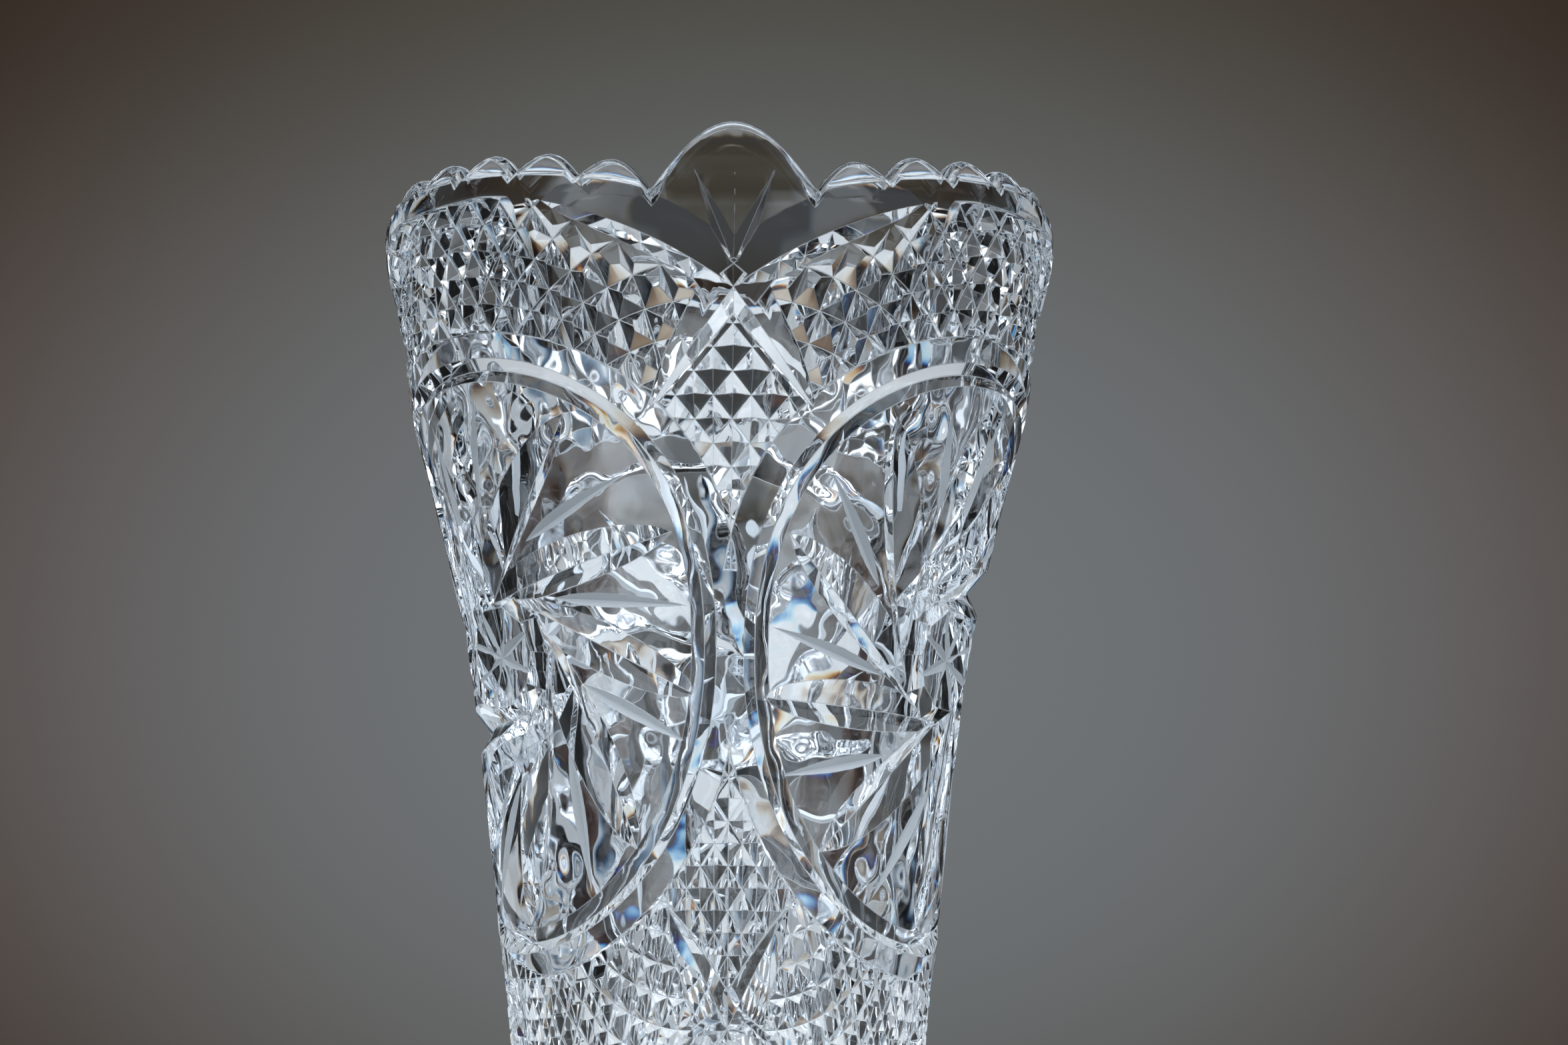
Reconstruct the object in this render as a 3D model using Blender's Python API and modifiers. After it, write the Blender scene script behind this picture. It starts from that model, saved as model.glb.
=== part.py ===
"""Cut crystal vase: one body of lead glass, turned hollow and cut on the wheel.

Frame: metres, +Z up. The origin is the centre of the face that the vase rests on.
The pattern repeats three times round the vase. A "pillar" is where two oval panels meet,
and the first pillar faces -Y. Angles are in degrees, from -Y towards +X.
"""

import math
from typing import NamedTuple

import bmesh
import bpy
from mathutils import Vector

MM = 0.001

# The turned body: (height, radius) in mm on the outside, from the foot to the top of the blank.
OUTSIDE = (
    (0, 39.6), (2, 41.2), (8, 41.6), (14, 39.2), (22, 38.4), (45, 40.3), (83, 44.2),
    (110, 47.7), (140, 54.6), (156, 58.7), (172, 60.9), (187, 63.9), (196, 62.4), (204, 58.6),
)
# The same on the inside, from the floor of the cavity up.
INSIDE = (
    (18, 22), (21, 27.5), (28, 31), (60, 35.2), (105, 40.4), (140, 47.8), (165, 53.2),
    (187, 57.8), (196, 56.0), (204, 51.8),
)
# The blank's points lie on those curves at these heights. It is taller than the cut rim.
OUTSIDE_LEVELS = (202, 196, 187, 180, 172, 156, 140, 124, 105, 83, 45, 22, 14, 8, 2, 0)
INSIDE_LEVELS = (18, 21, 28, 60, 105, 140, 165, 187, 196, 202)
BLANK_STEPS = 48
BASE_RECESS_RADIUS = 27.0
BASE_RECESS_DEPTH = 1.5

PANELS = 3
SECTOR = 360 / PANELS

# The rim, as angles from a pillar: one tall tongue, then small teeth up to the panel's middle.
RIM_LOW = 187.2
TONGUE_TIP = 200.5
TONGUE_HALF_ANGLE = 14.5
TOOTH_PITCH = 13.0
TOOTH_HEIGHT = 4.1
RIM_ARCH = 6.2
RIM_STEPS = 168

# The oval panel with its ring: half the size of the ring's outer edge, about the panel's middle.
PANEL_MIDDLE = 105.0
RING_HALF_ANGLE = 62.5
RING_HALF_HEIGHT = 59.5
RING_POWER = 2.2
RING_BAND = 4.7
RING_GROOVE_WIDTH = 4.3
RING_GROOVE_DEPTH = 1.7
RING_STEPS = 36

# The hub in the middle of each panel, the hollow round it and the pinwheel of V-grooves.
HUB_TOP_RADIUS = 9.5
HUB_RISE = 1.8
HUB_FOOT_RADIUS = 13.5
HUB_SIDES = 10
HOLLOW_RADIUS = 16.0
HOLLOW_DEPTH = 2.0
BLADE_TIPS = ((0, 49), (27, 42.5), (48, 20), (53, -10), (37, -38), (0, -50))
BLADE_CLEARANCE = 11.0
BLADE_RUN_OUT = 8.0
BLADE_DEPTH = 3.1
BLADE_HALF_ANGLE = 56.0
BLADE_STEPS = 4

# The crosses on each pillar: (height, side), where side is 1 at the top and -1 at the bottom.
# Long arms run outward from a cross and short arms run back towards the pillar's middle.
CROSSES = ((169.2, 1), (34.5, -1))
ARM_START = -0.12
ARM_STEPS = 4


class Arm(NamedTuple):
    """One arm of a cross, as a V-groove with a flatter flank on its far side."""
    reach: float  # Degrees from the pillar to its end.
    climb: float  # Millimetres gained on the way.
    bow: float  # Millimetres of bow for each square degree.
    depth: float
    taper: float  # The larger this is, the longer the groove keeps its depth.
    far_flank: float  # Degrees from the groove's own axis.
    near_flank: float


LONG_ARM = Arm(34.0, 17.0, 0.0068, 1.7, 3.0, 75.0, 65.0)
SHORT_ARM = Arm(15.6, -22.0, 0.0, 2.1, 1.5, 69.0, 58.0)

SURFACE_LIFT = 1.5
GLASS_COLOUR = (0.86, 0.90, 0.94, 1.0)


def clear_scene():
    for item in list(bpy.data.objects):
        bpy.data.objects.remove(item, do_unlink=True)


def new_collection(name):
    collection = bpy.data.collections.new(name)
    bpy.context.scene.collection.children.link(collection)
    return collection


def follow(stations, height):
    """Radius at a height, on a smooth curve through the stations."""
    last = len(stations) - 1
    index = max(i for i in range(last) if i == 0 or stations[i][0] <= height)
    low, high = stations[index], stations[index + 1]
    before, after = stations[max(index - 1, 0)], stations[min(index + 2, last)]
    span = high[0] - low[0]
    slope_low = (high[1] - before[1]) / (high[0] - before[0])
    slope_high = (after[1] - low[1]) / (after[0] - low[0])
    t = (height - low[0]) / span
    return (
        (2 * t**3 - 3 * t**2 + 1) * low[1]
        + (t**3 - 2 * t**2 + t) * span * slope_low
        + (3 * t**2 - 2 * t**3) * high[1]
        + (t**3 - t**2) * span * slope_high
    )


def outer_radius(height):
    return follow(OUTSIDE, min(max(height, 0), OUTSIDE[-1][0]))


def place(angle, height, radius):
    """The point at an angle, a height and a distance from the axis, in metres."""
    turn = math.radians(angle)
    return Vector((radius * math.sin(turn), -radius * math.cos(turn), height)) * MM


def on_surface(angle, height, lift):
    return place(angle, height, outer_radius(height) + lift)


def mesh_object(name, mesh, collection):
    thing = bpy.data.objects.new(name, mesh)
    collection.objects.link(thing)
    return thing


def loft(mesh, sections, closed):
    """Adds a solid through sections of equal point count, as a closed ring or with two ends."""
    rows = [[mesh.verts.new(point) for point in section] for section in sections]
    count = len(rows[0])
    pairs = list(zip(rows, rows[1:]))
    if closed:
        pairs.append((rows[-1], rows[0]))
    for first, second in pairs:
        for i in range(count):
            j = (i + 1) % count
            mesh.faces.new((first[i], first[j], second[j], second[i]))
    if not closed:
        mesh.faces.new(rows[0][::-1])
        mesh.faces.new(rows[-1])


def cutter_from(name, build, collection):
    """A cutter object whose mesh the function build fills."""
    mesh = bmesh.new()
    build(mesh)
    bmesh.ops.recalc_face_normals(mesh, faces=mesh.faces)
    data = bpy.data.meshes.new(name)
    mesh.to_mesh(data)
    mesh.free()
    cutter = mesh_object(name, data, collection)
    cutter.hide_render = True
    cutter.display_type = "WIRE"
    return cutter


def boolean(target, cutter, operation="DIFFERENCE"):
    """One cut. The exact solver leaves the wall open where shallow cuts graze it."""
    modifier = target.modifiers.new(cutter.name, "BOOLEAN")
    modifier.operation = operation
    modifier.solver = "MANIFOLD"
    modifier.object = cutter


def groove_sections(path, depths, right_flank, left_flank=None):
    """V sections along a path of (angle, height) points. A depth below zero lies off the glass.

    The flanks are angles from the groove's own axis, to the right and left of the path.
    """
    right_slope = math.tan(math.radians(right_flank))
    left_slope = math.tan(math.radians(left_flank or right_flank))
    sections = []
    for i, ((angle, height), depth) in enumerate(zip(path, depths)):
        before, after = path[max(i - 1, 0)], path[min(i + 1, len(path) - 1)]
        per_degree = math.radians(1) * outer_radius(height)
        along = Vector(((after[0] - before[0]) * per_degree, after[1] - before[1])).normalized()
        left = (depth + SURFACE_LIFT) * left_slope
        right = (depth + SURFACE_LIFT) * right_slope
        sections.append((
            on_surface(angle - along.y * left / per_degree, height + along.x * left, SURFACE_LIFT),
            on_surface(angle, height, -depth),
            on_surface(
                angle + along.y * right / per_degree, height - along.x * right, SURFACE_LIFT
            ),
        ))
    return sections


def lens_depths(depth, steps):
    """Depths of a wheel cut that runs out to nothing at both ends."""
    return [depth * (1 - (2 * i / steps - 1) ** 2) - 0.2 for i in range(steps + 1)]


def straight_path(start, end, steps):
    return [
        (start[0] + (end[0] - start[0]) * i / steps, start[1] + (end[1] - start[1]) * i / steps)
        for i in range(steps + 1)
    ]


def oval(half_angle, half_height, steps):
    """Points of an oval about the panel's middle, as (angle, height) with the panel at 0."""
    points = []
    for i in range(steps):
        turn = 2 * math.pi * i / steps
        across, up = math.cos(turn), math.sin(turn)
        points.append((
            math.copysign(half_angle * abs(across) ** (2 / RING_POWER), across),
            PANEL_MIDDLE + math.copysign(half_height * abs(up) ** (2 / RING_POWER), up),
        ))
    return points


def panel_angles():
    return [SECTOR * (i + 0.5) for i in range(PANELS)]


def pillar_angles():
    return [SECTOR * i for i in range(PANELS)]


def rim_height(angle):
    """Height of the rim's edge at an angle from the nearest pillar."""
    off = abs((angle + SECTOR / 2) % SECTOR - SECTOR / 2)
    if off < TONGUE_HALF_ANGLE:
        share = 1 - (off / TONGUE_HALF_ANGLE) ** 2
        return RIM_LOW + (TONGUE_TIP - RIM_LOW) * share**1.2
    share = (off - TONGUE_HALF_ANGLE) / (SECTOR / 2 - TONGUE_HALF_ANGLE)
    arch = RIM_ARCH * math.sin(share**0.8 * math.pi / 2)
    wave = abs(math.cos(math.pi * (SECTOR / 2 - off) / TOOTH_PITCH))
    return RIM_LOW + arch + TOOTH_HEIGHT * wave


def blank(collection):
    """The hollow turned body, before any cutting, as one profile round the axis."""
    profile = [(outer_radius(height), height) for height in OUTSIDE_LEVELS]
    profile += [(BASE_RECESS_RADIUS, 0), (BASE_RECESS_RADIUS - 2, BASE_RECESS_DEPTH)]
    profile += [(0, BASE_RECESS_DEPTH), (0, INSIDE[0][0])]
    profile += [(follow(INSIDE, height), height) for height in INSIDE_LEVELS]
    data = bpy.data.meshes.new("vase_body")
    count = len(profile)
    axis_gap = len(OUTSIDE_LEVELS) + 2
    edges = [(i, (i + 1) % count) for i in range(count) if i != axis_gap]
    data.from_pydata([(r * MM, 0, z * MM) for r, z in profile], edges, [])
    body = mesh_object("vase_body", data, collection)
    screw = body.modifiers.new("turn", "SCREW")
    screw.steps = BLANK_STEPS
    screw.render_steps = BLANK_STEPS
    screw.use_merge_vertices = True
    screw.merge_threshold = 0.00001
    return body


def rim_cutter(collection):
    """A ring above the rim whose underside waves with the tongues and the teeth."""
    def build(mesh):
        sections = []
        for i in range(RIM_STEPS):
            angle = 360 * i / RIM_STEPS
            low = rim_height(angle)
            sections.append([
                place(angle, low, 50), place(angle, low, 70),
                place(angle, 210, 70), place(angle, 210, 50),
            ])
        loft(mesh, sections, closed=True)
    return cutter_from("rim_cutter", build, collection)


def ring_cutter(collection):
    """The bevelled groove inside the flat band of each oval."""
    inset = RING_BAND + RING_GROOVE_WIDTH / 2
    inset_angle = inset / (math.radians(1) * outer_radius(PANEL_MIDDLE))
    path = oval(RING_HALF_ANGLE - inset_angle, RING_HALF_HEIGHT - inset, RING_STEPS)
    half_angle = math.degrees(math.atan(RING_GROOVE_WIDTH / 2 / RING_GROOVE_DEPTH))

    def build(mesh):
        around = [path[-1]] + path + [path[0]]
        depths = [RING_GROOVE_DEPTH] * len(around)
        for centre in panel_angles():
            turned = [(angle + centre, height) for angle, height in around]
            loft(mesh, groove_sections(turned, depths, half_angle)[1:-1], closed=True)
    return cutter_from("ring_cutter", build, collection)


def hub_solid(name, levels, collection):
    """A many-sided frustum in the middle of each panel. Levels are (radius, lift) pairs."""
    def build(mesh):
        for centre in panel_angles():
            sections = []
            for radius, lift in levels:
                ring = []
                for i in range(HUB_SIDES):
                    turn = 2 * math.pi * i / HUB_SIDES
                    height = PANEL_MIDDLE + radius * math.sin(turn)
                    span = math.degrees(radius * math.cos(turn) / outer_radius(PANEL_MIDDLE))
                    ring.append(on_surface(centre + span, height, lift))
                sections.append(ring)
            loft(mesh, sections, closed=False)
    return cutter_from(name, build, collection)


def blade_paths():
    """Each groove runs from its tip past the hub, which it keeps on its left."""
    tips = list(BLADE_TIPS) + [(-angle, rise) for angle, rise in BLADE_TIPS if angle]
    per_degree = math.radians(1) * outer_radius(PANEL_MIDDLE)
    paths = []
    for angle, rise in tips:
        tip = Vector((angle * per_degree, rise))
        reach = math.sqrt(tip.length_squared - BLADE_CLEARANCE**2)
        swing = math.asin(BLADE_CLEARANCE / tip.length)
        heading = -tip.normalized()
        turned = Vector((
            heading.x * math.cos(swing) + heading.y * math.sin(swing),
            heading.y * math.cos(swing) - heading.x * math.sin(swing),
        ))
        inner = tip + turned * (reach + BLADE_RUN_OUT)
        paths.append((
            (angle, PANEL_MIDDLE + rise),
            (inner.x / per_degree, PANEL_MIDDLE + inner.y),
        ))
    return paths


def blade_cutters(collection):
    """One cutter for each groove of the pinwheel, on all the panels at once."""
    cutters = []
    depths = lens_depths(BLADE_DEPTH, BLADE_STEPS)
    for number, (tip, inner) in enumerate(blade_paths()):
        def build(mesh):
            for centre in panel_angles():
                start = (tip[0] + centre, tip[1])
                end = (inner[0] + centre, inner[1])
                path = straight_path(start, end, BLADE_STEPS)
                loft(mesh, groove_sections(path, depths, BLADE_HALF_ANGLE), closed=False)
        cutters.append(cutter_from(f"blade_cutter_{number}", build, collection))
    return cutters


def arm_lines(arm, hand):
    """Paths, depths and flanks (right, left) of one arm of every cross."""
    shares = [ARM_START + (1 - ARM_START) * i / ARM_STEPS for i in range(ARM_STEPS + 1)]
    depths = [arm.depth * (1 - abs(share) ** arm.taper) ** 0.7 - 0.08 for share in shares]
    for pillar in pillar_angles():
        for height, side in CROSSES:
            path = []
            for share in shares:
                rise = arm.climb * share + arm.bow * arm.reach**2 * share * (1 - share)
                path.append((pillar + hand * arm.reach * share, height + side * rise))
            flanks = (arm.near_flank, arm.far_flank)
            yield path, depths, flanks if hand * side > 0 else flanks[::-1]


def arm_cutters(collection):
    """The arms that cross are cut one after the other."""
    cutters = []
    for hand in (-1, 1):
        for kind, arm in (("long", LONG_ARM), ("short", SHORT_ARM)):
            def build(mesh):
                for path, depths, flanks in arm_lines(arm, hand):
                    loft(mesh, groove_sections(path, depths, *flanks), closed=False)
            cutters.append(cutter_from(f"{kind}_arm_cutter_{hand + 1}", build, collection))
    return cutters


def cut_glass(name, colour):
    """Clear, polished lead glass."""
    material = bpy.data.materials.new(name)
    material.use_nodes = True
    shader = material.node_tree.nodes["Principled BSDF"]
    shader.inputs["Base Color"].default_value = colour
    shader.inputs["Roughness"].default_value = 0.03
    shader.inputs["Metallic"].default_value = 0.0
    shader.inputs["IOR"].default_value = 1.55
    shader.inputs["Transmission Weight"].default_value = 1.0
    return material


def build_vase():
    clear_scene()
    pieces = new_collection("cut_crystal_vase")
    cutters = new_collection("cutters")
    body = blank(pieces)
    boolean(body, rim_cutter(cutters))
    for cutter in arm_cutters(cutters):
        boolean(body, cutter)
    boolean(body, ring_cutter(cutters))
    hollow = ((HUB_TOP_RADIUS, -HOLLOW_DEPTH), (HOLLOW_RADIUS, SURFACE_LIFT))
    boolean(body, hub_solid("hollow_cutter", hollow, cutters))
    for cutter in blade_cutters(cutters):
        boolean(body, cutter)
    hub = ((HUB_FOOT_RADIUS, -BLADE_DEPTH - 1), (HUB_TOP_RADIUS, HUB_RISE))
    boolean(body, hub_solid("hub", hub, cutters), "UNION")
    body.data.materials.append(cut_glass("crystal", GLASS_COLOUR))


build_vase()
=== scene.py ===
"""Looks for the cut crystal vase: the finely cut glass, its materials and a small studio.

Lengths are in design millimetres, which the frame's own height turns into metres. Angles are
in degrees from -Y towards +X. A pillar, where two oval panels meet, faces -Y.
"""

import math
from typing import NamedTuple

import bmesh
import bpy
import numpy as np
from mathutils import Matrix, Vector


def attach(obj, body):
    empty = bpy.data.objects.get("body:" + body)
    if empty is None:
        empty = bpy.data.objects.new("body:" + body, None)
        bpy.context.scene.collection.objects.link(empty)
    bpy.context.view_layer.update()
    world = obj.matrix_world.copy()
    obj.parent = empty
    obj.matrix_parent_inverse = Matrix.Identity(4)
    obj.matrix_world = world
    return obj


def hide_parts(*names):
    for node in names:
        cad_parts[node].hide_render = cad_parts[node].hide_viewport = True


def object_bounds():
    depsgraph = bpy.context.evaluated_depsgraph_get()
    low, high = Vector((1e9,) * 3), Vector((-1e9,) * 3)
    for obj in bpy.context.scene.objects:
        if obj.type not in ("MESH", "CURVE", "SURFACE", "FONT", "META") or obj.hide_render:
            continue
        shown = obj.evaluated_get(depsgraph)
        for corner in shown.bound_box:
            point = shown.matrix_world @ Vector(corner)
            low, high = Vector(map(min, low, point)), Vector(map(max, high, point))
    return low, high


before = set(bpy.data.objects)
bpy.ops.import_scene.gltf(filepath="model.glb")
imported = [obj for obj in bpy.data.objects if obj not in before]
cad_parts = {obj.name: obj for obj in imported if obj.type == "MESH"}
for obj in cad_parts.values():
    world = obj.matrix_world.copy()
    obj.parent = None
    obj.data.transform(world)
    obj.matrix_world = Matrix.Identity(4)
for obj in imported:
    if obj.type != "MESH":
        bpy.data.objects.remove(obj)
CAD_LOW, CAD_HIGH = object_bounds()

# Heights are counted from the resting face up to the crown of a rim tongue.
CROWN = 200.5
UNIT = (CAD_HIGH.z - CAD_LOW.z) / CROWN

# (height, radius) outside from the foot to the rim, and inside from the cavity's floor.
OUTSIDE = (
    (0, 39.6), (2, 41.2), (8, 41.6), (14, 39.2), (22, 38.4), (45, 40.3), (83, 44.2),
    (110, 47.7), (140, 54.6), (156, 58.7), (172, 60.9), (187, 63.9), (196, 62.4), (204, 58.6),
)
INSIDE = (
    (18, 22), (21, 27.5), (28, 31), (60, 35.2), (105, 40.4), (140, 47.8), (165, 53.2),
    (187, 57.8), (196, 56.0), (204, 51.8),
)
BLANK_STEPS = 216
BLANK_TOP = 202.0
OUTSIDE_POINTS = 64
INSIDE_POINTS = 44
FOOT_EDGE = (2.0, 1.2, 0.6, 0.0)
BASE_RECESS_RADIUS = 27.0
BASE_RECESS_DEPTH = 1.5
BASE_RECESS_SLANT = 2.0

PANELS = 3
SECTOR = 360 / PANELS
PANEL_ANGLES = [SECTOR * (i + 0.5) for i in range(PANELS)]
PILLAR_ANGLES = [SECTOR * i for i in range(PANELS)]

RIM_LOW = 187.2
TONGUE_HALF_ANGLE = 14.5
TONGUE_POWER = 1.2
TOOTH_PITCH = 13.0
TOOTH_HEIGHT = 4.1
RIM_ARCH = 6.2
RIM_ARCH_POWER = 0.8
RIM_STEPS = 720

# The rim's section is an elliptical crest, at these shares of half the wall from its middle.
RIM_CREST = 2.2
CREST_SHARES = (0.4, 0.7, 0.88, 0.97, 1.03)
WASTE_REACH = 4
WASTE_TOP = 212.0

# A step back over the line that the teeth stand on. It climbs steeply to pass over each tongue.
LEDGE_DEPTH = 0.6
LEDGE_RISE = 1.1
LEDGE_DROP = 0.8
LEDGE_HEIGHT = 7.0
LEDGE_CLIMB = 3.0

PANEL_MIDDLE = 105.0
RING_HALF_ANGLE = 62.5
RING_HALF_HEIGHT = 59.5
RING_POWER = 2.2
RING_BAND = 4.7
RING_GROOVE_WIDTH = 4.3
RING_GROOVE_DEPTH = 1.7
RING_STEPS = 144

HUB_TOP_RADIUS = 9.5
HUB_RISE = 1.8
HUB_FOOT_RADIUS = 13.5
HUB_SIDES = 10
HOLLOW_RADIUS = 16.0
HOLLOW_DEPTH = 2.0
BLADE_TIPS = ((0, 49), (27, 42.5), (48, 20), (53, -10), (37, -38), (0, -50))
BLADE_CLEARANCE = 11.0
BLADE_RUN_OUT = 8.0
BLADE_DEPTH = 3.1
BLADE_HALF_ANGLE = 56.0
BLADE_SKEW = 0.75
BLADE_STEPS = 14

# Frosted cuts: thin slivers between the blades, and the star on each hub. Each sliver has its
# tip and its inner end, as (degrees from the panel's middle line, mm above the hub).
SLIVERS = (
    ((6.5, 50.7), (-3.5, 22.5)), ((41, 31.6), (12, 20)), ((53, 6.3), (18, 9.5)),
    ((53.5, -20), (24, -6.5)), ((24, -47.5), (19, -17.5)), ((-22, -48), (1.5, -22.5)),
    ((-51, -25), (-18, -19)), ((-53, 3.4), (-21, -4.7)), ((-41, 33), (-25, 11)),
    ((-13.5, 48), (-10, 21)),
)
SLIVER_DEPTH = 0.9
SLIVER_SKEW = 1.4
SLIVER_STEPS = 10
STAR_RAYS = 4
STAR_HALF_LENGTH = 10.8
STAR_DEPTH = 1.1
FROST_HALF_ANGLE = 58.0


class Arm(NamedTuple):
    """A V-groove from the middle of a cross.

    Its reach is in degrees, and it climbs in mm. The far flank faces away from the panels.
    """
    reach: float
    climb: float
    bow: float
    depth: float
    taper: float
    far_flank: float
    near_flank: float


# (height, side) of the crosses on each pillar. Their long arms point away from the panels.
CROSSES = ((169.2, 1), (34.5, -1))
LONG_ARM = Arm(34.0, 17.0, 0.0068, 1.7, 3.0, 75.0, 65.0)
SHORT_ARM = Arm(15.6, -22.0, 0.0, 2.1, 1.5, 69.0, 58.0)
ARM_START = -0.12
ARM_ROUNDNESS = 0.7
ARM_END_LIFT = 0.08
ARM_STEPS = 16


class Lattice(NamedTuple):
    """Two families of grooves that cross, in cells of a row's height by a column's angle.

    Away from its centre a row bends towards the ovals and its cells get wider. The columns
    lean outwards towards the rim or the foot.
    """
    centres: list
    side: int
    middle: float
    row: float
    column: float
    droop: float
    lean: float
    spread: float
    first: float


LATTICES = (
    Lattice(PANEL_ANGLES, 1, 175.1, 9.8, 7.1, 0.0076, 0.0098, 0.0036, 0.5),
    Lattice(PANEL_ANGLES, -1, 30.0, 8.0, 7.1, 0.0076, 0.0098, 0.0036, 0.5),
    Lattice(PILLAR_ANGLES, 1, 145.3, 8.6, 7.3, 0, 0, 0, 0),
    Lattice(PILLAR_ANGLES, -1, 56.0, 8.2, 7.3, 0, 0, 0, 0),
)
LATTICE_ENDS = (188.5, 17.0)
UPPER_ZONE_LOW = 118.0
LOWER_ZONE_HIGH = 92.0
LATTICE_ZONE_STEPS = 360
LATTICE_LEVELS = (12.0, 192.0)
LATTICE_HALF_ANGLE = 52.0
LATTICE_OVERCUT = 1.06
LATTICE_LIFT = 0.8
LATTICE_END_LIFT = 0.1
LATTICE_CELLS = 9
POINTS_PER_CELL = 4

# The lattice fades out this near to the long arms, apart from where it is far from a pillar.
FADE_MARGIN = 4.0
FADE_HEIGHT = 7.0
FADE_ANGLE = 28.0
FADE_SPAN = 12.0

# Flutes and seams, as (degrees from the pillar, height) and heights alone.
FLUTE_START = (0.4, 174.0)
FLUTE_END = (7.4, 192.0)
FLUTE_DEPTH = 0.9
FLUTE_HALF_ANGLE = 68.0
FLUTE_END_LIFT = 0.05
FLUTE_STEPS = 10
SEAMS = ((170.0, 200.0), (110.0, 160.0), (46.0, 100.0))
SEAM_DEPTH = 0.15
SEAM_HALF_ANGLE = 50.0
SEAM_LIFT = 0.6
SEAM_STEPS = 30

# Cutters stand proud of the glass by a lift, and their ends run out a little over it. The
# outline solids go through the skin or the whole wall.
SURFACE_LIFT = 1.5
LENS_END_LIFT = 0.12
SKIN = 5.0
ZONE_SKIN = 6.0
ZONE_RADIUS = 75.0
ZONE_TURN = 0.1
LEAST_DEPTH = 0.05
PRISM_RADII = (25, 80)

BLANK, POLISHED, FROSTED = range(3)
SHARP_ANGLE = 22.0
NORMAL_LEVELS = 2000
NORMAL_TOLERANCE = 0.05

# Waves in the glass, in metres. They are strong up to one height and faint over another, in mm.
WAVE_SIZE = 0.011
BLANK_WAVE_DEPTH = 0.0006
CUT_WAVE_DEPTH = 0.0003
WAVY_BELOW = 148.0
CALM_ABOVE = 166.0
CALM_STRENGTH = 0.15

# Edges are rounded, in metres, and get a painted white highlight where that bends the normal far
# enough.
EDGE_ROUNDING = 0.0003
EDGE_BENDS = (0.985, 0.88)
EDGE_PAINTED_HIGHLIGHT = 0.7
CRYSTAL_IOR = 1.56


class Softbox(NamedTuple):
    """A light. Its place is in degrees from the camera's line of sight, and above it."""
    azimuth: float
    half_width: float
    elevation: float
    half_height: float
    edge: float
    strength: float


SOFTBOXES = (
    Softbox(0, 200, 90, 28, 3.0, 3.0),  # Overhead.
    Softbox(88, 38, 45, 13, 3.0, 1.3),  # High on the right and the left.
    Softbox(-88, 38, 45, 13, 3.0, 1.3),
    Softbox(133, 17, 35, 24, 3.0, 1.6),  # High up behind the camera, on either side of it.
    Softbox(-133, 17, 35, 24, 3.0, 1.6),
    Softbox(146, 17, 0, 11, 3.0, 0.8),  # Level with the camera and behind it, on either side.
    Softbox(-146, 17, 0, 11, 3.0, 0.8),
    Softbox(0, 24, 26, 7, 2.0, 0.65),  # Over the backdrop.
    Softbox(0, 28, -12.5, 6.5, 1.0, 0.8),  # The bright table behind the vase.
    Softbox(-36, 9, -3, 12, 2.0, 0.5),  # Strips beyond the backdrop, on the left and the right.
    Softbox(38, 7, 0, 13, 2.0, 0.42),
    Softbox(98, 20, 0, 10, 2.0, 0.15),  # A dim one beside the vase, on the right.
    Softbox(0, 20, 12, 6, 3.0, 0.05),  # The dim wall over the backdrop.
)
LIGHT_TINT = (0.93, 1.0, 1.06)


class Spot(NamedTuple):
    """The backdrop's soft spot of light in one colour. The sizes are in degrees."""
    half_width: float
    half_height: float
    strength: float


# Red, green and blue: the spot is bluish in the middle and brown round its edge.
BACKDROP_SPOT = (Spot(7.4, 5.0, 0.152), Spot(6.4, 4.8, 0.167), Spot(6.1, 4.5, 0.177))
SPOT_DROP = 0.9
SPOT_FALL = 1.5
DARK_ROOM = 0.008
COLOUR_SHIFT = 0.35

STAND_RADIUS = 0.13
STAND_THICKNESS = 0.03
STAND_GAP = 0.0005

# The camera's distance is in metres. It aims at a height, and the vase sits left of centre.
CAMERA_DISTANCE = 1.5
CAMERA_CLIMB = 9.5
CAMERA_TURN = -3.0
CAMERA_AIM = 135.0
CAMERA_ASIDE = 12.37
CAMERA_LENS = 181
LIGHT_BOUNCES = 24
MIRROR_BOUNCES = 12


def follow(stations, height):
    """Radius at a height, on a smooth curve through the stations."""
    last = len(stations) - 1
    index = max(i for i in range(last) if i == 0 or stations[i][0] <= height)
    low, high = stations[index], stations[index + 1]
    before, after = stations[max(index - 1, 0)], stations[min(index + 2, last)]
    span = high[0] - low[0]
    slope_low = (high[1] - before[1]) / (high[0] - before[0])
    slope_high = (after[1] - low[1]) / (after[0] - low[0])
    t = (height - low[0]) / span
    return (
        (2 * t**3 - 3 * t**2 + 1) * low[1]
        + (t**3 - 2 * t**2 + t) * span * slope_low
        + (3 * t**2 - 2 * t**3) * high[1]
        + (t**3 - t**2) * span * slope_high
    )


def outer_radius(height):
    return follow(OUTSIDE, min(max(height, 0), OUTSIDE[-1][0]))


def inner_radius(height):
    return follow(INSIDE, min(max(height, INSIDE[0][0]), INSIDE[-1][0]))


def place(angle, height, radius):
    turn = math.radians(angle)
    return Vector((radius * math.sin(turn), -radius * math.cos(turn), height)) * UNIT


def on_surface(angle, height, lift):
    return place(angle, height, outer_radius(height) + lift)


def degrees_per_mm(height):
    return 1 / (math.radians(1) * outer_radius(height))


def from_pillar(angle):
    """Angle to the nearest pillar, never negative."""
    return abs((angle + SECTOR / 2) % SECTOR - SECTOR / 2)


def shifted(path, angle):
    return [(point[0] + angle, point[1]) for point in path]


def straight(start, end, steps):
    return [
        (start[0] + (end[0] - start[0]) * i / steps, start[1] + (end[1] - start[1]) * i / steps)
        for i in range(steps + 1)
    ]


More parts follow.
